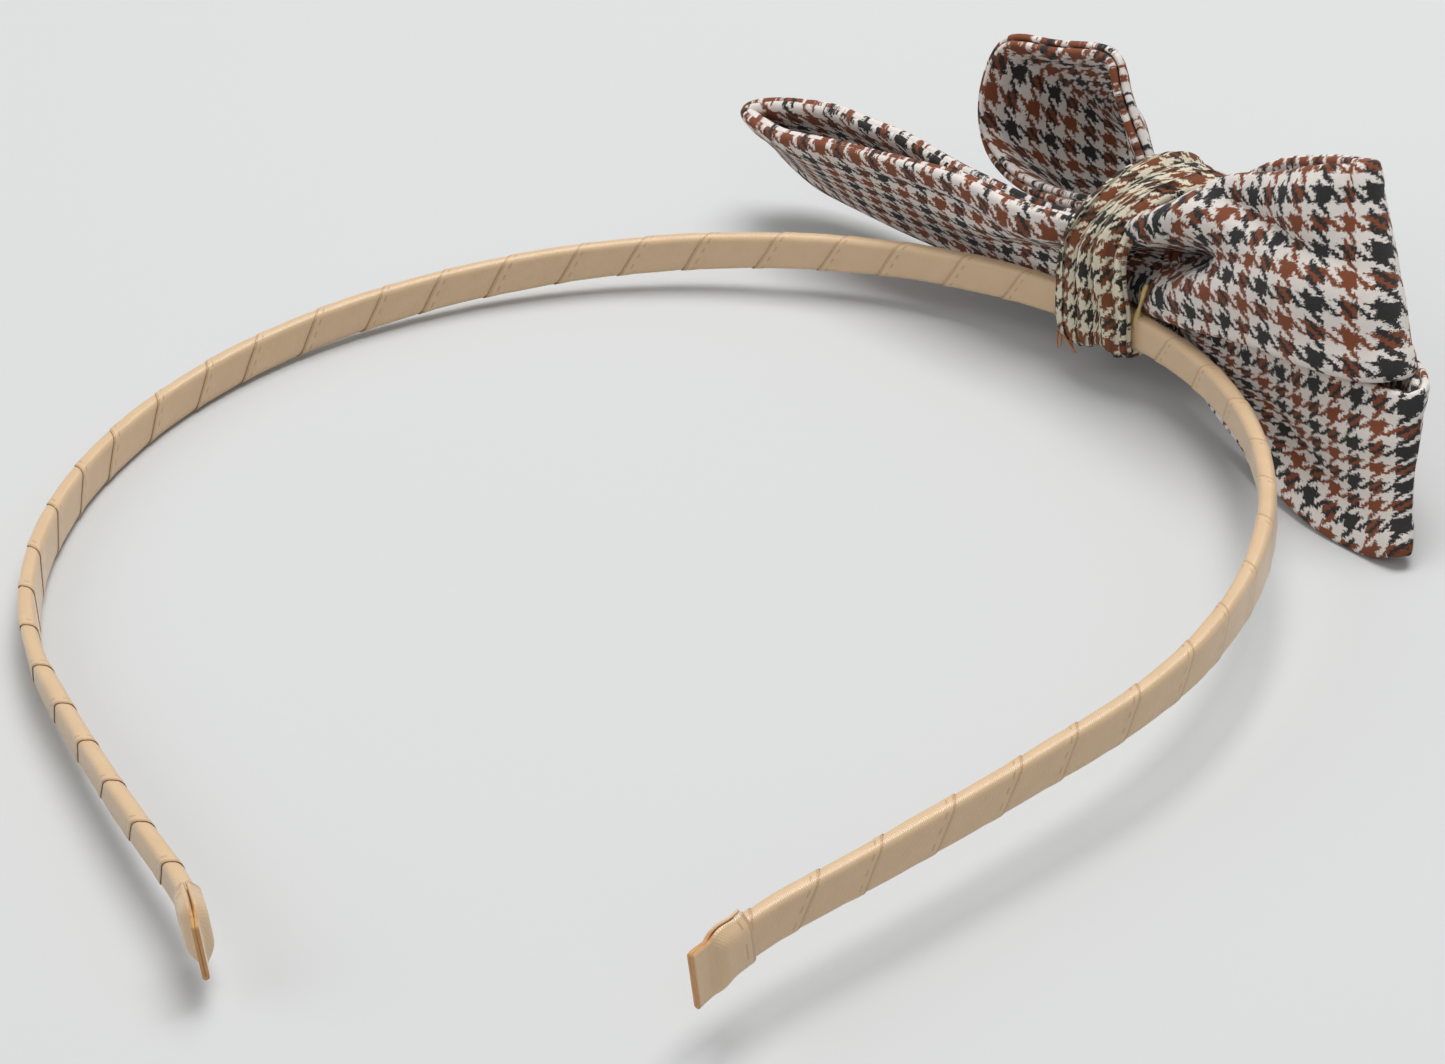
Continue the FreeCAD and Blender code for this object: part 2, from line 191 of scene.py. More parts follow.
# ---- Spring strip ----
# The band's inside is one strip of hardened steel, rolled flat, cut to length and bent over a former. It is
# hidden by its ribbon and holds the band's shape. It is dull grey, with fine lines from rolling along it.

steel, shader = new_material("rolled_spring_steel")
place = add_node(steel, "TexCoord")
lines = add_node(steel, "TexNoise", {"Vector": place.outputs["Object"], "Scale": 900.0, "Detail": 3.0})
grain = add_node(steel, "Bump", {"Height": lines.outputs["Fac"], "Strength": 0.15, "Distance": 0.00005})
link(steel, grain.outputs["Normal"], shader, "Normal")
shader.inputs["Base Color"].default_value = linear("#8F9294")
shader.inputs["Metallic"].default_value = 1.0
shader.inputs["Roughness"].default_value = 0.42
for part in ("core_crown", "core_left_leg", "core_right_leg"):
    frame["nodes"][part].data.materials.clear()
    frame["nodes"][part].data.materials.append(steel)

# ---- Wound satin ribbon ----
# A 10 mm double-faced satin ribbon is wound in a helix round the strip, over double-sided tape, each turn
# lapping the last. Its woven edge shows as a slanting ridge with a row of tiny stitch-like floats.

RIBBON_WIDTH = 10.0
WIND_PITCH = 8.5  # along the band, from one edge to the next
RIBBON_STEP = 0.09  # the ribbon's thickness where one turn lies on the last
LAP_END = 1.3  # how far a turn runs on under the next, as a share of the pitch
EDGE_ROUND = 0.75
TURN_SAMPLES = 44
COVER_START, WOUND_END = BAND_END - 7.0, BAND_END - 3.2


def section(share, width, thickness, corner):
    """A rounded oblong, from the middle of its inner face and upward first: outward and across, in mm."""
    out, high = [-thickness / 2], [0.0]
    centres = [(-1, 1, 180), (1, 1, 90), (1, -1, 0), (-1, -1, -90)]
    for side, top, start in centres:
        for step in range(9):
            angle = math.radians(start - step * 90 / 8)
            out.append(side * (thickness / 2 - corner) + corner * math.cos(angle))
            high.append(top * (width / 2 - corner) + corner * math.sin(angle))
    out.append(-thickness / 2)
    high.append(0.0)
    run = np.concatenate([[0], np.cumsum(np.hypot(np.diff(out), np.diff(high)))])
    at = np.asarray(share) % 1.0 * run[-1]
    return np.interp(at, run, out), np.interp(at, run, high)


def edge_line(turns):
    """Where the ribbon's edge lies along the band after some turns: hand winding is a little uneven."""
    wander = 0.35 * np.sin(1.9 * turns + 0.6) + 0.22 * np.sin(4.3 * turns + 2.0)
    return WIND_PITCH * turns + wander


def mesh_piece(name, points, faces, uvs, material, flip=False):
    """A piece from its points in the row, its faces and each face corner's place on the flat cloth."""
    mesh = bpy.data.meshes.new(name)
    mesh.from_pydata([tuple(p) for p in points], [], [f[::-1] if flip else f for f in faces])
    layer = mesh.uv_layers.new(name="cloth_mm")
    flat = [uv for corners in uvs for uv in (corners[::-1] if flip else corners)]
    layer.data.foreach_set("uv", np.array(flat, np.float32).ravel())
    mesh.materials.append(material)
    mesh.shade_smooth()
    piece = bpy.data.objects.new(name, mesh)
    bpy.context.collection.objects.link(piece)
    return piece


def tidy(piece, gap):
    """Joins corners that meet and drops faces that closed up."""
    shape = bmesh.new()
    shape.from_mesh(piece.data)
    bmesh.ops.remove_doubles(shape, verts=shape.verts, dist=gap)
    bmesh.ops.dissolve_degenerate(shape, edges=shape.edges, dist=gap)
    shape.to_mesh(piece.data)
    shape.free()


def apply_modifier(piece, kind, **settings):
    """Puts a modifier on a piece and makes it part of the mesh."""
    bpy.ops.object.select_all(action="DESELECT")
    piece.select_set(True)
    bpy.context.view_layer.objects.active = piece
    modifier = piece.modifiers.new(kind.lower(), kind)
    for key, value in settings.items():
        setattr(modifier, key, value)
    bpy.ops.object.modifier_apply(modifier=modifier.name)


def wound_ribbon(name, first_turn, last_turn, material):
    """A length of the winding. Its rows run round the band and its columns from one edge to the next."""
    rows = int((last_turn - first_turn) * TURN_SAMPLES)
    turns = first_turn + np.arange(rows + 1) / TURN_SAMPLES
    lap = np.array([0, 0.004, 0.012, 0.05, 0.1, 0.15, 0.2, 0.26, 0.34, 0.46, 0.58, 0.7, 0.82, 0.92,
                    0.975, 1.0, 1.03, 1.1, LAP_END])
    start, end = edge_line(turns), edge_line(turns + 1)
    reach = start[:, None] + (end - start)[:, None] * lap
    reach = np.clip(reach, -WOUND_END, WOUND_END)
    lift = RIBBON_STEP * (np.clip(1 - (lap / 0.24) ** 2, 0, 1) - 1 - np.clip((lap - 0.97) / 0.06, 0, 1))
    lift[0] -= 0.05
    puff = 0.05 * np.sin(np.pi * np.minimum(lap, 1)) * (1 + 0.8 * np.sin(2.7 * turns)[:, None])
    out, high = section(turns[:, None] + 0 * lap, BAND_WIDTH, BAND_THICKNESS, EDGE_ROUND)
    grow = 1 + (lift + puff) / (BAND_THICKNESS / 2)
    points = on_band(reach, out * grow, high * (1 + (lift + puff) / (BAND_WIDTH / 2)))
    columns = len(lap)
    faces, uvs = [], []
    turn_run = math.hypot(2 * (BAND_WIDTH + BAND_THICKNESS), WIND_PITCH)
    for i in range(rows):
        low, far = i * columns, (i + 1) * columns
        here, there = turns[i] * turn_run, turns[i + 1] * turn_run
        for j in range(columns - 1):
            faces.append((low + j, low + j + 1, far + j + 1, far + j))
            a, b = lap[j] * WIND_PITCH, lap[j + 1] * WIND_PITCH
            uvs.append([(here, a), (here, b), (there, b), (there, a)])
    ribbon = mesh_piece(name, points.reshape(-1, 3), faces, uvs, material)
    tidy(ribbon, 1e-6)
    apply_modifier(ribbon, "SOLIDIFY", thickness=RIBBON_STEP * MM * 0.8, offset=-1.0)
    return ribbon


def satin(name, face, shade, edge):
    """Polyester satin: long floats lie along the ribbon, so it glows in a soft band and shows fine ribs."""
    material, shader = new_material(name)
    cloth = add_node(material, "UVMap", uv_map="cloth_mm")
    place = add_node(material, "SeparateXYZ", {"Vector": cloth.outputs["UV"]})
    along, across_it = place.outputs["X"], place.outputs["Y"]
    cloudy = add_node(material, "TexNoise", {"Vector": cloth.outputs["UV"], "Scale": 0.35, "Detail": 3.0})
    tone = add_node(material, "MixRGB", {"Fac": cloudy.outputs["Fac"],
                                         "Color1": linear(face), "Color2": linear(shade)})
    # the row of floats 1 mm in from the woven edge is darker in its own colour, and the 0.35 mm line at that
    # edge, where each turn steps onto the last, is darkened as painted shade
    lap_edge_shade = add_node(material, "Math", {0: across_it, 1: 0.35}, operation="LESS_THAN")
    row_near = add_node(material, "Math", {0: across_it, 1: 1.05, 2: 0.13}, operation="COMPARE")
    beat = add_node(material, "Math", {0: along, 1: 0.9}, operation="PINGPONG")
    dots = add_node(material, "Math", {0: beat.outputs[0], 1: 0.5}, operation="GREATER_THAN")
    floats = add_node(material, "Math", {0: row_near.outputs[0], 1: dots.outputs[0]}, operation="MULTIPLY")
    floats_and_lap_shade = add_node(material, "Math", {0: lap_edge_shade.outputs[0], 1: floats.outputs[0]}, operation="MAXIMUM")
    # this mask darkens the floats for real and the lapping edge as painted shade
    weight = add_node(material, "Math", {0: floats_and_lap_shade.outputs[0], 1: 0.5}, operation="MULTIPLY")
    stitched = add_node(material, "MixRGB", {"Fac": weight.outputs[0], "Color1": tone.outputs["Color"],
                                             "Color2": linear(edge)})
    link(material, stitched.outputs["Color"], shader, "Base Color")
    # ribs of the weave, drawn 0.3 mm apart so that they can be seen
    ribs = add_node(material, "Math", {0: across_it, 1: 2 * math.pi / 0.3}, operation="MULTIPLY")
    rib_wave = add_node(material, "Math", {0: ribs.outputs[0]}, operation="SINE")
    picks = add_node(material, "Math", {0: along, 1: 2 * math.pi / 0.45}, operation="MULTIPLY")
    pick_wave = add_node(material, "Math", {0: picks.outputs[0]}, operation="SINE")
    weave = add_node(material, "Math", {0: rib_wave.outputs[0], 1: pick_wave.outputs[0]},
                     operation="MULTIPLY")
    sunk = add_node(material, "Math", {0: floats_and_lap_shade.outputs[0], 1: -2.5, 2: weave.outputs[0]},
                    operation="MULTIPLY_ADD")
    relief = add_node(material, "Bump", {"Height": sunk.outputs[0], "Strength": 0.35, "Distance": 0.00004})
    link(material, relief.outputs["Normal"], shader, "Normal")
    shader.inputs["Roughness"].default_value = 0.30
    shader.inputs["Specular IOR Level"].default_value = 0.65
    shader.inputs["Sheen Weight"].default_value = 0.25
    shader.inputs["Sheen Roughness"].default_value = 0.35
    shader.inputs["Anisotropic"].default_value = 0.5
    return material


# the last colour is the floats' own darker tone, and also the painted shade along each lapping edge
champagne = satin("champagne_satin_ribbon", "#D6B893", "#CAAA84", "#A57D54")
turns_each_way = math.ceil(WOUND_END / WIND_PITCH) + 1
BLEND_HALF = 14.0  # the strip's real bend is spread over this length each side of a flex line
for side, sign in (("left", -1), ("right", 1)):
    span = (-turns_each_way, 0.5) if sign < 0 else (0.5, turns_each_way)
    ribbon = wound_ribbon("wound_ribbon_" + side, *span, champagne)
    tuple(on_band(sign * (FLEX_REACH - BLEND_HALF), 0.0, 0.0))
    tuple(on_band(sign * (FLEX_REACH + BLEND_HALF), 0.0, 0.0))
    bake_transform(ribbon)
    half_ribbons = ["ribbon_crown", f"ribbon_{side}_leg"]
    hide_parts(*half_ribbons)

# ---- The bow's cloth ----
# Two strips of houndstooth suiting, each sewn as a flat double-ply band 24 mm wide and closed into a ring.
# The rings are crossed, gathered at the waist and puffed open, so each gives two loops: rounded pressed
# edges, a dark line between the plies, and soft creases that fan out from the waist.

BOW_REACH = 46.0  # from the crown's centre to the bow's waist
STRIP_WIDTH = 24.0
CHECK_REPEAT = 3.1
THREADS_PER_REPEAT = 8
FACE_COLUMNS = 14  # columns of the mesh across each face, between its folded edges
BACK_PLY_OFFSET = STRIP_WIDTH * 3  # keeps the inner ply's cloth apart from the outer ply's on the flat
OFF_GRAIN = 0.05  # the strips are cut this far off the straight grain, as a slope
bow_x, bow_y, bow_heading = mid_line(BOW_REACH)


def by_waist(points):
    """Millimetres along the band, outward from it and up across it, from where the bow's waist sits."""
    along, out, high = np.moveaxis(np.asarray(points, float), -1, 0)
    out = out + BAND_THICKNESS / 2
    return in_row(bow_x + along * np.cos(bow_heading) - out * np.sin(bow_heading),
                  bow_y + along * np.sin(bow_heading) + out * np.cos(bow_heading), high)


def smooth_ring(points, counts):
    """A closed curve through the points, with a number of steps from each point to the next."""
    points = np.asarray(points, float)
    run = []
    for i, count in enumerate(counts):
        a, b, c, d = (points[(i + k) % len(points)] for k in (-1, 0, 1, 2))
        share = np.arange(count)[:, None] / count
        ahead, beyond = (c - a) / 2, (d - b) / 2
        run.append((2 * share**3 - 3 * share**2 + 1) * b + (share**3 - 2 * share**2 + share) * ahead
                   + (3 * share**2 - 2 * share**3) * c + (share**3 - share**2) * beyond)
    return np.concatenate(run)


def face_outward(piece):
    """Turns every face of a closed piece to the outside."""
    shape = bmesh.new()
    shape.from_mesh(piece.data)
    bmesh.ops.recalc_face_normals(shape, faces=shape.faces)
    shape.to_mesh(piece.data)
    shape.free()


def edge_profile(thick, hem, slit):
    """One edge of a double-ply strip, from between the plies round to its face, as (inset, height) pairs.
    With slit at 1 the plies part at the edge; at 0 they are pressed together into one round nose."""
    lobe = thick / 4
    parted = [(1.1, 0.12), (0.6, 0.3)]
    for turn in np.radians((-60, -25, 10, 45, 90)):
        parted.append((lobe - lobe * math.cos(turn), 1 + math.sin(turn)))
    closed = [(2 * lobe * (1 - math.cos(turn)), 2 * math.sin(turn))
              for turn in np.radians((3, 13, 25, 38, 53, 70, 90))]
    nose = [(slit * p[0] + (1 - slit) * c[0], lobe * (slit * p[1] + (1 - slit) * c[1]))
            for p, c in zip(parted, closed)]
    return nose + [(1.5, 2 * lobe), (2.3, 1.97 * lobe), (hem, 1.8 * lobe), (hem + 0.5, 1.42 * lobe)]


def strip_ring(name, ribs, creases, material, thick=2.1, hem=3.1, outside=1, slit=0.2):
    """A ring of double-ply strip from its ribs. Each rib is its lower edge, its upper edge and how far the
    cloth bulges between them. Each crease is a rib's number, a place across it (-1 to 1), a depth, a width,
    how far it runs and how much its place drifts per mm."""
    low, high = (np.array([rib[k] for rib in ribs], float) for k in (0, 1))
    gap = np.linalg.norm(np.roll(low + high, -1, 0) - low - high, axis=1) / 2
    counts = np.maximum(3, np.rint(gap / 0.75).astype(int))
    low, high = smooth_ring(low, counts), smooth_ring(high, counts)
    bulge = smooth_ring([[rib[2]] for rib in ribs], counts)[:, 0]
    centre = (low + high) / 2
    steps = np.linalg.norm(np.roll(centre, -1, 0) - centre, axis=1)
    run = np.concatenate([[0], np.cumsum(steps)])
    length, run = run[-1], run[:-1]
    rib_run = run[np.concatenate([[0], np.cumsum(counts)[:-1]])]
    half = np.linalg.norm(high - low, axis=1) / 2
    flow = (np.roll(centre, -1, 0) - np.roll(centre, 1, 0))
    flow /= np.linalg.norm(flow, axis=1)[:, None]
    rise = (high - low) / (2 * half[:, None])
    normal = np.cross(flow, rise) * outside
    normal /= np.linalg.norm(normal, axis=1)[:, None]

    def middle_face(v):
        """The middle of the strip's thickness at places v (rows by columns) across it."""
        push = bulge[:, None] * (1 - v**2)
        for rib, where, depth, width, reach, drift in creases:
            away = (run - rib_run[rib] + length / 2) % length - length / 2
            fade = np.exp(-(away / reach) ** 2)[:, None]
            place = where + drift * away[:, None]
            push = push + depth * fade * np.exp(-((v - place) * half[:, None] / width) ** 2)
        waver = 0.16 * np.sin(run / 3.1 + 2.3 * np.sin(run / 11))[:, None]
        push = push + waver * np.sin(3.1 * v + run[:, None] / 9)
        mid = centre[:, None] + rise[:, None] * (half[:, None] * v)[..., None]
        return mid + normal[:, None] * push[..., None]

    edge = edge_profile(thick, hem, slit)
    face_v = np.linspace(-1, 1, FACE_COLUMNS + 2)[1:-1]
    columns = []  # (place across, side of the strip, height over its middle, flat place in mm)
    flat_half = STRIP_WIDTH / 2
    for side in (1, -1):
        start, end = (-1, 1) if side > 0 else (1, -1)
        for inset, over in edge:
            v = start * (1 - inset / half)
            columns.append((v, side, over, start * side * (flat_half - inset)))
        inner = 1 - (hem + 0.9) / np.maximum(half, hem + 1.4)
        for place in face_v * end:
            columns.append((place * inner, side, 1.36 * thick / 4, place * side * (flat_half - hem - 0.9)))
        for inset, over in reversed(edge):
            v = end * (1 - inset / half)
            columns.append((v, side, over, end * side * (flat_half - inset)))
    v = np.stack([c[0] for c in columns], 1)
    over = np.array([c[2] * c[1] for c in columns])
    mid = middle_face(v)
    ahead = np.roll(mid, -1, 0) - np.roll(mid, 1, 0)
    sideways = middle_face(v + 0.04) - middle_face(v - 0.04)
    stand = np.cross(ahead, sideways) * outside
    stand /= np.linalg.norm(stand, axis=2)[..., None]
    points = by_waist(mid + stand * over[None, :, None])
    points[..., 2] = np.maximum(points[..., 2], REST_HEIGHT)
    rows, count = points.shape[:2]
    flats = [c[3] + (0 if c[1] > 0 else BACK_PLY_OFFSET) for c in columns]
    travel = np.append(run, length)
    faces, uvs = [], []
    for i in range(rows):
        for j in range(count):
            k, n = (j + 1) % count, (i + 1) % rows
            faces.append((i * count + j, n * count + j, n * count + k, i * count + k))
            a, b = flats[j], flats[k]
            if abs(a - b) > STRIP_WIDTH:
                b = a + 0.3
            near, far = travel[i] * OFF_GRAIN, travel[i + 1] * OFF_GRAIN
            uvs.append([(travel[i], a + near), (travel[i + 1], a + far), (travel[i + 1], b + far),
                        (travel[i], b + near)])
    piece = mesh_piece(name, points.reshape(-1, 3), faces, uvs, material)
    face_outward(piece)
    return piece, length


COLOURED_YARNS = 4.5  # of a repeat's eight, half a yarn more than an even split
TWILL_REPEAT, TWILL_OVER = 4.0, 2.0  # over two yarns and under two


def houndstooth(name, ground, dark, second, yarn):
    """Wool-blend houndstooth: four light and four coloured yarns by turns, both ways, in a 2/2 twill. The
    coloured yarns go black and rust by turns in the warp and in the weft, so the teeth mix the two."""
    material, shader = new_material(name)
    cloth = add_node(material, "UVMap", uv_map="cloth_mm")
    wobble = add_node(material, "TexNoise", {"Vector": cloth.outputs["UV"], "Scale": 1.1, "Detail": 2.0})
    shift = add_node(material, "VectorMath", {0: wobble.outputs["Color"], 1: (0.5, 0.5, 0.5)},
                     operation="SUBTRACT")
    swayed = add_node(material, "VectorMath", {0: shift.outputs[0], 1: (0.6, 0.6, 0.0),
                                               2: cloth.outputs["UV"]}, operation="MULTIPLY_ADD")
    # loose fibres blur each tooth's edge
    hairs = add_node(material, "TexNoise", {"Vector": cloth.outputs["UV"], "Scale": 3.6, "Detail": 4.0,
                                            "Roughness": 0.75})
    stray = add_node(material, "VectorMath", {0: hairs.outputs["Color"], 1: (0.5, 0.5, 0.5)},
                     operation="SUBTRACT")
    shaken = add_node(material, "VectorMath", {0: stray.outputs[0], 1: (1.3, 1.3, 0.0),
                                               2: swayed.outputs[0]}, operation="MULTIPLY_ADD")
    threads = add_node(material, "VectorMath", {0: shaken.outputs[0]}, operation="SCALE")
    threads.inputs["Scale"].default_value = THREADS_PER_REPEAT / CHECK_REPEAT
    place = add_node(material, "SeparateXYZ", {"Vector": threads.outputs[0]})

    def maths(operation, *values):
        links = {i: value for i, value in enumerate(values)}
        return add_node(material, "Math", links, operation=operation).outputs[0]

    def coloured(axis):
        """1 where the yarns that lie side by side along an axis are coloured ones."""
        in_repeat = maths("FLOORED_MODULO", place.outputs[axis], float(THREADS_PER_REPEAT))
        return maths("LESS_THAN", in_repeat, COLOURED_YARNS)

    warp, weft = maths("FLOOR", place.outputs["X"]), maths("FLOOR", place.outputs["Y"])
    over = maths("LESS_THAN", maths("FLOORED_MODULO", maths("ADD", warp, weft), TWILL_REPEAT), TWILL_OVER)
    tooth = maths("ADD", maths("MULTIPLY", over, coloured("X")),
                  maths("MULTIPLY", maths("SUBTRACT", 1.0, over), coloured("Y")))
    # every second group of coloured yarns is rust, and the yarn on top gives the colour
    two_groups = 2.0 * THREADS_PER_REPEAT
    rust = [maths("LESS_THAN", maths("FLOORED_MODULO", maths("ADD", place.outputs[axis], 2.0), two_groups),
                  float(THREADS_PER_REPEAT)) for axis in ("X", "Y")]
    is_rust = maths("ADD", maths("MULTIPLY", over, rust[0]),
                    maths("MULTIPLY", maths("SUBTRACT", 1.0, over), rust[1]))
    fibre = add_node(material, "TexNoise", {"Vector": shaken.outputs[0], "Scale": 7.0, "Detail": 4.0,
                                            "Roughness": 0.7})
    light = add_node(material, "MixRGB", {"Fac": fibre.outputs["Fac"], "Color1": linear(ground),
                                          "Color2": linear(yarn)})
    colours = add_node(material, "MixRGB", {"Fac": is_rust, "Color1": linear(dark),
                                            "Color2": linear(second)})
    heather = add_node(material, "MixRGB", {"Fac": maths("MULTIPLY", fibre.outputs["Fac"], 0.08),
                                            "Color1": colours.outputs["Color"], "Color2": linear(yarn)})
    woven = add_node(material, "MixRGB", {"Fac": tooth, "Color1": light.outputs["Color"],
                                          "Color2": heather.outputs["Color"]})
    link(material, woven.outputs["Color"], shader, "Base Color")
    # each yarn is round: a ridge along the warp where it lies on top, and along the weft elsewhere
    warp_ridge = maths("ABSOLUTE", maths("SINE", maths("MULTIPLY", place.outputs["X"], math.pi)))
    weft_ridge = maths("ABSOLUTE", maths("SINE", maths("MULTIPLY", place.outputs["Y"], math.pi)))
    ridge = maths("ADD", maths("MULTIPLY", over, warp_ridge),
                  maths("MULTIPLY", maths("SUBTRACT", 1.0, over), weft_ridge))
    fuzzy = maths("ADD", ridge, maths("MULTIPLY", fibre.outputs["Fac"], 0.9))
    relief = add_node(material, "Bump", {"Height": fuzzy, "Strength": 0.55, "Distance": 0.00012})
    link(material, relief.outputs["Normal"], shader, "Normal")
    shader.inputs["Roughness"].default_value = 0.88
    shader.inputs["Specular IOR Level"].default_value = 0.25
    shader.inputs["Sheen Weight"].default_value = 0.06
    shader.inputs["Sheen Roughness"].default_value = 0.5
    return material


suiting = houndstooth("houndstooth_wool_suiting", "#F6EFE9", "#0C0F13", "#7C3A10", "#D3C8C0")
REST_HEIGHT = 0.0003  # the loops rest on the table, half a ply above it

# The front strip: from the waist along the upper right loop's front, round its end and back behind it, then
# out along the back of the long lower left loop, round its narrow end and back along its front. Its upper
# right loop is the fullest, with a deep fold under its top edge beside the waist.
FRONT_RIBS = [
    ((3.5, 1.0, 1.0), (4.5, 1.2, 12.6), 0.0),
    ((11.0, -1.2, 2.4), (13.0, 2.4, 16.4), 0.8),
    ((18.5, -3.4, 4.2), (19.0, 3.8, 21.4), 1.6),
    ((28.0, -4.2, 6.0), (28.0, 4.0, 24.6), 1.8),
    ((37.0, -5.4, 7.0), (33.0, 4.0, 26.8), 1.4),
    ((44.2, -4.8, 7.2), (36.0, 5.2, 27.6), 1.0),
    ((48.0, -2.0, 7.2), (37.2, 7.0, 27.6), 0.6),
    ((46.8, 1.4, 6.2), (35.0, 8.4, 26.6), 0.4),
    ((38.0, 4.6, 2.4), (29.0, 8.8, 25.0), 0.9),
    ((23.0, 7.0, 1.2), (20.0, 9.6, 21.2), 0.7),
    ((9.0, 7.0, 1.0), (8.6, 9.6, 13.0), 0.3),
    ((0.5, 5.0, 1.2), (0.5, 5.5, 11.3), 0.0),
    ((-8.5, 5.0, -0.6), (-7.5, 2.4, 9.2), 0.3),
    ((-20.5, 6.2, -2.6), (-20.5, 1.4, 10.4), 0.6),
    ((-36.0, 6.0, -2.0), (-36.5, 1.4, 12.4), 0.8),
    ((-49.0, 4.4, -0.2), (-50.5, 0.4, 12.4), 0.6),
    ((-55.2, 2.2, 2.6), (-59.4, -1.8, 10.2), 0.2),
    ((-49.6, 2.4, 0.0), (-51.6, -3.6, 10.0), 0.5),
    ((-38.5, 3.2, -1.9), (-38.0, -4.2, 11.8), 0.8),
    ((-21.5, 3.2, -2.6), (-21.0, -3.4, 13.2), 0.8),
    ((-9.0, 1.8, -1.0), (-8.0, -2.6, 12.4), 0.4),
]
FRONT_CREASES = [
    (1, 0.05, -8.0, 2.9, 9.0, -0.012), (1, 0.60, 4.2, 2.8, 10.0, -0.022), (1, -0.35, 1.2, 2.4, 16.0, 0.0),
    (3, 0.42, -1.7, 1.5, 11.0, -0.030), (4, 0.70, 1.0, 3.4, 6.0, 0.0), (2, -0.78, -1.0, 1.6, 14.0, 0.0),
    (5, 0.0, -0.9, 30.0, 1.6, 0.0), (4, -0.25, 0.8, 4.0, 8.0, 0.0), (9, 0.2, -1.6, 2.0, 9.0, 0.0),
    (12, 0.35, 1.0, 1.8, 8.0, 0.0), (12, -0.4, -0.9, 1.6, 9.0, 0.0), (20, -0.1, -1.6, 1.7, 9.0, 0.010),
    (19, 0.45, -0.9, 1.4, 12.0, -0.012), (18, -0.45, 0.6, 2.5, 9.0, 0.0), (20, 0.55, 1.1, 1.8, 7.0, 0.0),
]

# The back strip crosses behind the first: along the near leg of the upper left loop, over its square top
# and down into the waist, then along the back of the lower right loop, whose end corner rests on the table,
# and back along its front.
BACK_RIBS = [
    ((2.0, 9.0, 1.8), (2.0, 8.0, 11.3), 0.0),
    ((-6.0, 13.0, 1.2), (-10.0, 7.4, 8.2), 0.2),
    ((-10.6, 20.2, 1.0), (-20.5, 8.6, 6.6), 0.3),
    ((-15.4, 24.0, 1.6), (-28.2, 10.4, 9.2), 0.2),
    ((-17.2, 26.0, 4.4), (-29.5, 11.6, 15.4), 0.0),
    ((-18.0, 26.4, 7.2), (-26.6, 13.4, 22.2), -0.2),
    ((-17.6, 25.6, 9.4), (-17.8, 13.6, 24.0), -0.4),
    ((-15.6, 24.6, 9.6), (-7.4, 12.2, 26.2), -0.2),
    ((-12.6, 22.6, 8.0), (-4.2, 10.8, 22.6), 0.0),
    ((-7.0, 18.6, 5.0), (-0.6, 9.8, 17.4), 0.0),
    ((1.0, 12.6, 2.6), (2.4, 9.0, 13.6), 0.0),
    ((6.5, 10.0, 1.8), (6.5, 10.4, 11.0), 0.0),
    ((15.0, 8.4, -1.6), (15.0, 10.0, 9.6), -0.4),
    ((30.0, 3.4, -7.2), (29.0, 9.0, 9.6), -1.0),
    ((44.0, -2.6, -9.8), (42.0, 5.0, 7.6), -0.8),
    ((52.4, -7.4, -9.6), (48.6, 1.2, 7.4), -0.3),
    ((53.8, -9.0, -9.8), (49.6, -1.6, 6.4), -0.1),
    ((47.6, -9.9, -11.0), (43.5, -2.8, 6.6), -0.6),
    ((36.5, -8.3, -9.2), (34.0, -2.8, 6.4), -1.0),
    ((23.0, -3.6, -5.6), (21.5, -1.0, 6.2), -1.0),
    ((11.5, 1.4, -1.4), (11.0, 2.0, 6.6), -0.3),
    ((7.0, 7.0, 1.6), (7.0, 6.6, 10.0), 0.0),
]
BACK_CREASES = [
    (2, 0.1, 1.2, 2.2, 6.0, 0.0), (6, 0.5, 0.6, 2.5, 4.0, 0.0), (9, 0.2, -1.0, 1.8, 6.0, 0.0),
    (4, 0.45, -0.8, 2.0, 3.0, 0.0), (13, 0.2, 1.2, 2.2, 9.0, 0.0), (19, 0.1, 1.2, 2.0, 9.0, -0.02),
    (20, -0.4, -1.2, 1.8, 12.0, 0.0), (17, 0.4, 0.9, 2.4, 8.0, 0.0), (18, -0.1, -0.9, 1.6, 9.0, 0.03),
]
# the front strip's plies are pressed together at its edges, and the back strip's stand apart
BOW_STRIPS = [
    ("bow_front_strip", "bow_strip_front", FRONT_RIBS, FRONT_CREASES, 1, 0.15),
    ("bow_back_strip", "bow_strip_back", BACK_RIBS, BACK_CREASES, -1, 0.9),
]
for name, node, ribs, creases, outside, slit in BOW_STRIPS:
    strip, strip_length = strip_ring(name, ribs, creases, suiting, outside=outside, slit=slit)
    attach(strip, "crown")
    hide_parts(node)

# ---- Centre strip ----
# A narrower strip of the same suiting, cream where the glue has yellowed it, pulled tight round the waist
# and the band. It leans as it rises and bunches into a few soft folds along its length.

# its middle layer, from the front of the band up over the waist, down behind and back under the band:
# outward from the band, up across it, and where its left and right edges lie along the band
KNOT_PATH = [
    (-3.1, -2.7, -2.9, 8.2), (-3.4, -0.7, -3.0, 8.4), (-3.4, 3.0, -2.9, 8.7), (-3.4, 6.6, -2.6, 8.2),
    (-2.8, 10.3, -1.8, 7.8), (-0.8, 13.5, -0.4, 8.9), (2.3, 15.6, 0.8, 10.6), (6.0, 16.5, 1.5, 13.0),
    (10.0, 15.8, 1.6, 13.0), (13.4, 13.5, 1.0, 12.4), (15.6, 10.0, 0.0, 11.6), (16.2, 6.3, -0.6, 11.0),
    (15.2, 2.3, -1.2, 10.4), (12.7, -0.9, -1.8, 9.8), (9.7, -2.6, -2.2, 9.4), (6.3, -3.1, -2.5, 9.0),
    (2.8, -3.15, -2.8, 8.7), (-1.4, -3.25, -2.9, 8.4),
]
knot_ribs = [((left, out, high), (right, out, high + 0.3), 0.15) for out, high, left, right in KNOT_PATH]
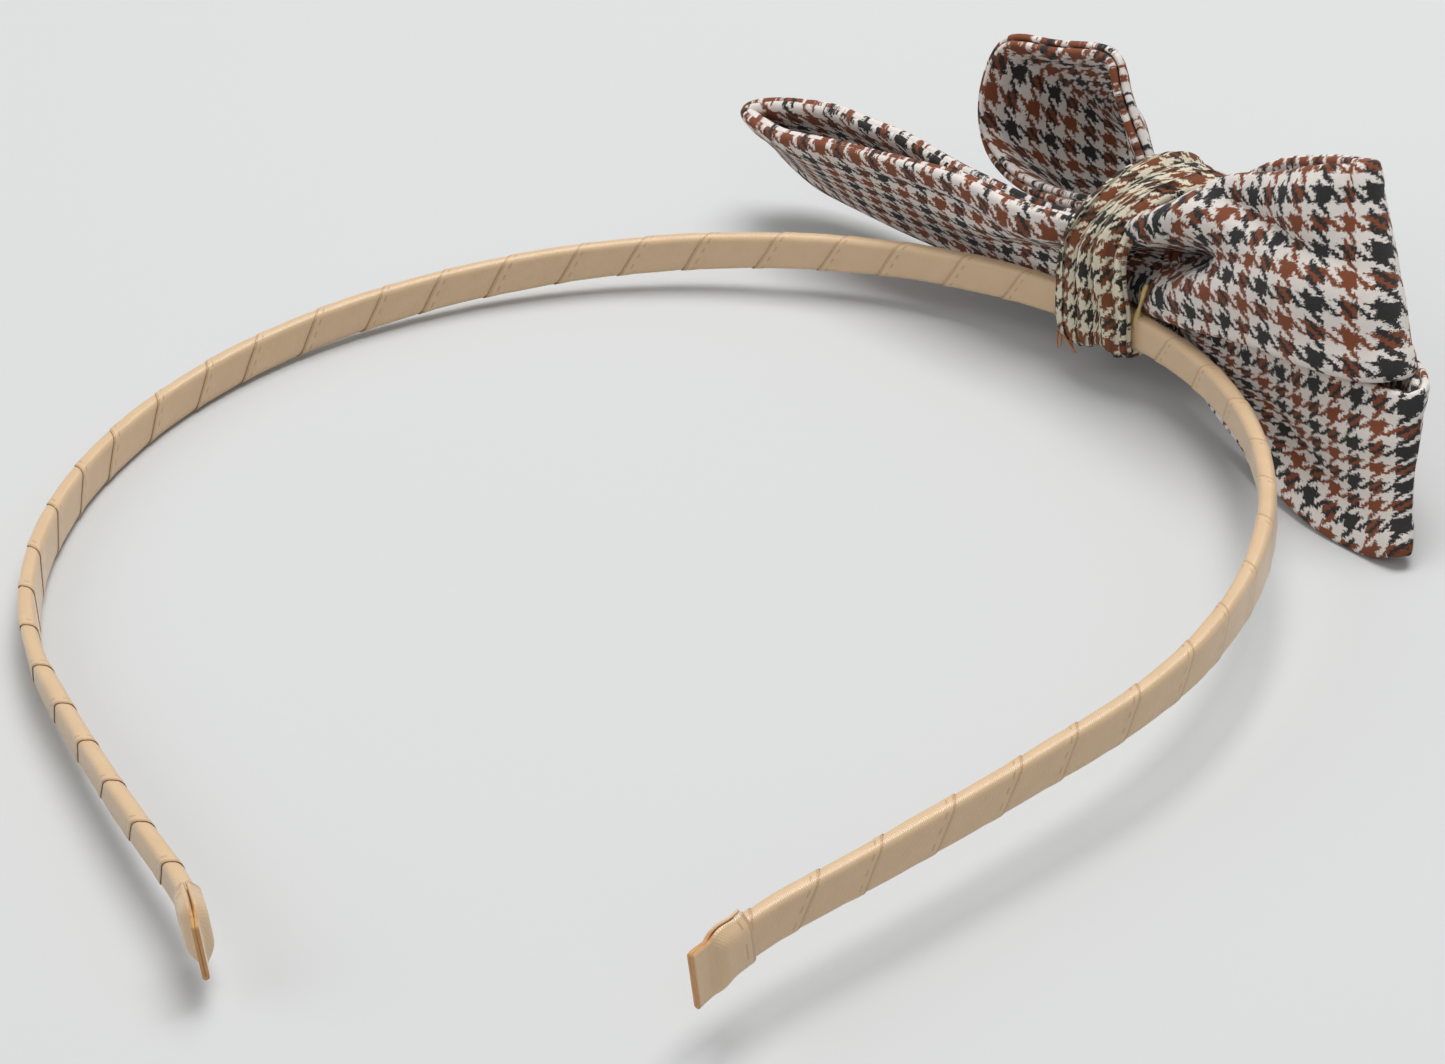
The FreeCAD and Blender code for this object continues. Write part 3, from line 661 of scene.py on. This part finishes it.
KNOT_CREASES = [
    (3, -0.50, -1.0, 0.75, 60.0, 0.0), (3, -0.05, -1.1, 0.8, 14.0, 0.012),
    (3, 0.45, -1.2, 0.8, 12.0, -0.012),
    (9, 0.0, -0.8, 0.9, 14.0, 0.0), (4, 0.75, 0.9, 1.0, 5.0, 0.02), (1, 0.75, 0.5, 0.9, 4.0, 0.0),
    (4, -0.75, 0.5, 1.2, 8.0, 0.0), (9, -0.5, -0.6, 1.0, 9.0, 0.0), (7, 0.6, -0.8, 0.9, 5.0, 0.0),
]
cream_suiting = houndstooth("houndstooth_wool_suiting_cream", "#F0E9D8", "#0D1013", "#743610", "#D2C5A4")
knot, knot_length = strip_ring("centre_strip", knot_ribs, KNOT_CREASES, cream_suiting, thick=1.5, hem=1.7)
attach(knot, "crown")
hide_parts("bow_centre_strip")

# ---- Gathering thread, frayed yarns and glue ----
# Four turns of strong thread draw the two strips in at the waist, under the centre strip. The centre strip's
# cut end frays into a few rust yarns below the band. Hot glue holds it all and shows as an amber streak.


def tube(path, radii, sides=8):
    """Rings of points along a path in mm by the waist, and the faces between them."""
    path = np.asarray(path, float)
    flow = np.gradient(path, axis=0)
    flow /= np.linalg.norm(flow, axis=1)[:, None]
    aside = np.cross(flow, (0.31, 0.17, 0.93))
    aside /= np.linalg.norm(aside, axis=1)[:, None]
    above = np.cross(flow, aside)
    angle = np.arange(sides) * 2 * math.pi / sides
    rings = path[:, None] + np.asarray(radii, float)[:, None, None] * (
        np.cos(angle)[None, :, None] * aside[:, None] + np.sin(angle)[None, :, None] * above[:, None])
    faces = []
    for i in range(len(path) - 1):
        near, far = i * sides, (i + 1) * sides
        faces += [(near + j, near + (j + 1) % sides, far + (j + 1) % sides, far + j) for j in range(sides)]
    ends = [tuple(range(sides))[::-1], tuple((len(path) - 1) * sides + j for j in range(sides))]
    return by_waist(rings.reshape(-1, 3)), faces + ends


def tube_piece(name, tubes, material):
    """One piece from several tubes, with a plain flat place for every corner."""
    points, faces = [], []
    for some, more in tubes:
        faces += [tuple(len(points) + k for k in face) for face in more]
        points += list(some)
    uvs = [[(points[k][0] / MM, points[k][2] / MM) for k in face] for face in faces]
    piece = mesh_piece(name, points, faces, uvs, material)
    face_outward(piece)
    return piece


def yarn_material(name, colour, light):
    """Spun yarn: soft, matt and hairy, with its twist as fine slanting ridges."""
    material, shader = new_material(name)
    place = add_node(material, "TexCoord")
    twist = add_node(material, "TexNoise", {"Vector": place.outputs["Object"], "Scale": 4000.0,
                                            "Detail": 2.0})
    tone = add_node(material, "MixRGB", {"Fac": twist.outputs["Fac"], "Color1": linear(colour),
                                         "Color2": linear(light)})
    link(material, tone.outputs["Color"], shader, "Base Color")
    relief = add_node(material, "Bump", {"Height": twist.outputs["Fac"], "Strength": 0.4,
                                         "Distance": 0.00005})
    link(material, relief.outputs["Normal"], shader, "Normal")
    shader.inputs["Roughness"].default_value = 0.85
    return material


rust_yarn = yarn_material("rust_spun_yarn", "#9A5528", "#C98B58")
thread_turns, thread_steps = 4, 48
THREAD_RADIUS = 0.22
turn = np.arange(thread_turns * thread_steps + 1) / thread_steps
angle = 2 * math.pi * turn
bound = [4.0 + 0.45 * (turn - thread_turns / 2),
         6.3 + 6.1 * np.sign(np.cos(angle)) * np.abs(np.cos(angle)) ** 0.6,
         6.5 + 5.6 * np.sign(np.sin(angle)) * np.abs(np.sin(angle)) ** 0.6]
wound = tube(np.stack(bound, 1), np.full(len(turn), THREAD_RADIUS))
thread = tube_piece("gathering_thread_turns", [wound], rust_yarn)
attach(thread, "crown")
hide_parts("gathering_thread")

# each yarn: where it leaves the cut end, the way it points, its length and its curl, in mm
FRAYS = [
    ((-3.2, -3.4, -3.2), (-0.25, -0.2, -1.0), 2.0, 0.7), ((-2.7, -3.4, -3.3), (0.35, -0.3, -1.0), 1.8, -0.5),
    ((-2.0, -3.5, -3.3), (1.0, -0.3, -0.75), 2.8, 0.5), ((-1.4, -3.4, -3.3), (1.0, -0.2, -1.0), 2.0, -0.7),
]
FRAY_ROOT, FRAY_TAPER = 0.17, 0.10  # a yarn's radius where it leaves the cloth, and what it loses to its end
frays = []
for start, way, long, curl in FRAYS:
    share = np.linspace(0, 1, 12)[:, None]
    way = np.array(way) / np.linalg.norm(way)
    bend = np.cross(way, (0.0, 1.0, 0.0)) * curl
    strand = np.array(start) + way * long * share + bend * share**2
    frays.append(tube(strand, FRAY_ROOT - FRAY_TAPER * share[:, 0], 6))
frayed = tube_piece("frayed_yarns", frays, rust_yarn)
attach(frayed, "crown")

hot_glue, shader = new_material("hot_melt_glue")
place = add_node(hot_glue, "TexCoord")
lumps = add_node(hot_glue, "TexNoise", {"Vector": place.outputs["Object"], "Scale": 700.0, "Detail": 2.0})
tone = add_node(hot_glue, "MixRGB", {"Fac": lumps.outputs["Fac"], "Color1": linear("#B8934A"),
                                     "Color2": linear("#D9C68C")})
link(hot_glue, tone.outputs["Color"], shader, "Base Color")
relief = add_node(hot_glue, "Bump", {"Height": lumps.outputs["Fac"], "Strength": 0.3, "Distance": 0.0001})
link(hot_glue, relief.outputs["Normal"], shader, "Normal")
shader.inputs["Roughness"].default_value = 0.22
shader.inputs["Subsurface Weight"].default_value = 0.3
shader.inputs["Subsurface Radius"].default_value = (0.0008, 0.0006, 0.0003)
seam = np.linspace(0, 1, 24)
bead = np.stack([8.7 + 0.9 * seam**1.3, -2.2 + 1.4 * seam**1.5, 0.9 + 5.4 * seam], 1)
bead_size = 0.36 + 0.12 * np.sin(9 * seam) - 0.20 * seam**3
pad = np.stack([-0.2 + 8.4 * seam, 0.42 + 0.05 * np.sin(11 * seam), 1.0 + 0.5 * np.sin(4 * seam)], 1)
pad_size = 0.40 * np.sin(math.pi * np.clip(seam, 0.03, 0.97)) ** 0.3
beads = [tube(bead, bead_size)] + [tube(pad + (0, 0, lift), pad_size) for lift in (0.0, 0.9, -1.0)]
glue = tube_piece("glue_streak", beads, hot_glue)
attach(glue, "crown")
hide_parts("glue_pad")

# ---- Tip covers ----
# A short piece of the same ribbon is folded up round each tip from below, glued together over its top, and
# pinched flat past the strip's end. Its end is cut with a hot blade, which leaves a hard orange-brown edge.

COVER_WALL = 0.34
COVER_TOUCH = 0.02  # half of what is left between its two walls where they are pinched together
burnt, shader = new_material("heat_sealed_ribbon_edge")
cloth = add_node(burnt, "UVMap", uv_map="cloth_mm")
place = add_node(burnt, "SeparateXYZ", {"Vector": cloth.outputs["UV"]})
scorch = add_node(burnt, "TexNoise", {"Vector": cloth.outputs["UV"], "Scale": 1.6, "Detail": 3.0})
edge = add_node(burnt, "MixRGB", {"Fac": scorch.outputs["Fac"], "Color1": linear("#B4763C"),
                                  "Color2": linear("#D2A36C")})
to_end = add_node(burnt, "MapRange", {"Value": place.outputs["Y"], "From Min": 2.0, "From Max": 4.5})
tone = add_node(burnt, "MixRGB", {"Fac": to_end.outputs["Result"], "Color1": linear("#CEAF8A"),
                                  "Color2": edge.outputs["Color"]})
link(burnt, tone.outputs["Color"], shader, "Base Color")
shader.inputs["Roughness"].default_value = 0.5


def tip_cover(name, sign):
    """The folded tab on one tip, from the outer wall's top edge down, under and up the inner wall."""
    reach = np.linspace(COVER_START - 0.4, BAND_END, 22)
    pinch = np.clip((reach - WOUND_END + 0.6) / 1.6, 0, 1)
    pinch = pinch * pinch * (3 - 2 * pinch)
    shut = COVER_TOUCH + COVER_WALL / 2
    gap = (BAND_THICKNESS / 2 + 0.10 + COVER_WALL / 2) * (1 - pinch) + shut * pinch
    top = BAND_WIDTH / 2 + 0.85 - 0.4 * pinch + 0.10 * np.sin(reach * 1.7)
    drop = np.clip((reach - COVER_START - 1.5) / 2.5, 0, 1)
    bottom = -BAND_WIDTH / 2 - 0.28 - 0.6 * drop * drop
    rise = np.array([0.0, 0.2, 0.4, 0.6, 0.72, 0.8, 0.87, 0.94, 1.0])
    lean = np.clip((rise - 0.68) / 0.3, 0, 1) ** 1.6
    wall_out = gap[:, None] * (1 - lean) + shut * lean
    wall_high = (bottom + gap)[:, None] + (top - bottom - gap)[:, None] * rise
    turn = np.radians([-20, -45, -70, -90, -110, -135, -160])
    under_out, under_high = gap[:, None] * np.cos(turn), (bottom + gap)[:, None] + gap[:, None] * np.sin(turn)
    out = np.concatenate([wall_out[:, ::-1], under_out, -wall_out], 1)
    high = np.concatenate([wall_high[:, ::-1], under_high, wall_high], 1)
    points = on_band(sign * reach[:, None] + 0 * out, out, high)
    rows, count = out.shape
    faces, uvs = [], []
    for i in range(rows - 1):
        near, far = reach[i] - reach[0], reach[i + 1] - reach[0]
        low, far_row = i * count, (i + 1) * count
        for j in range(count - 1):
            faces.append((low + j, low + j + 1, far_row + j + 1, far_row + j))
            a, b = (k * RIBBON_WIDTH / count for k in (j, j + 1))
            uvs.append([(a, near), (b, near), (b, far), (a, far)])
    cover = mesh_piece(name, points.reshape(-1, 3), faces, uvs, champagne, flip=sign < 0)
    cover.data.materials.append(burnt)
    apply_modifier(cover, "SOLIDIFY", thickness=COVER_WALL * MM, offset=0.0, material_offset_rim=1)
    return cover


for side, sign in (("left", -1), ("right", 1)):
    cover = tip_cover("tip_tab_" + side, sign)
    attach(cover, side + "_leg")
    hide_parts("tip_cover_" + side)
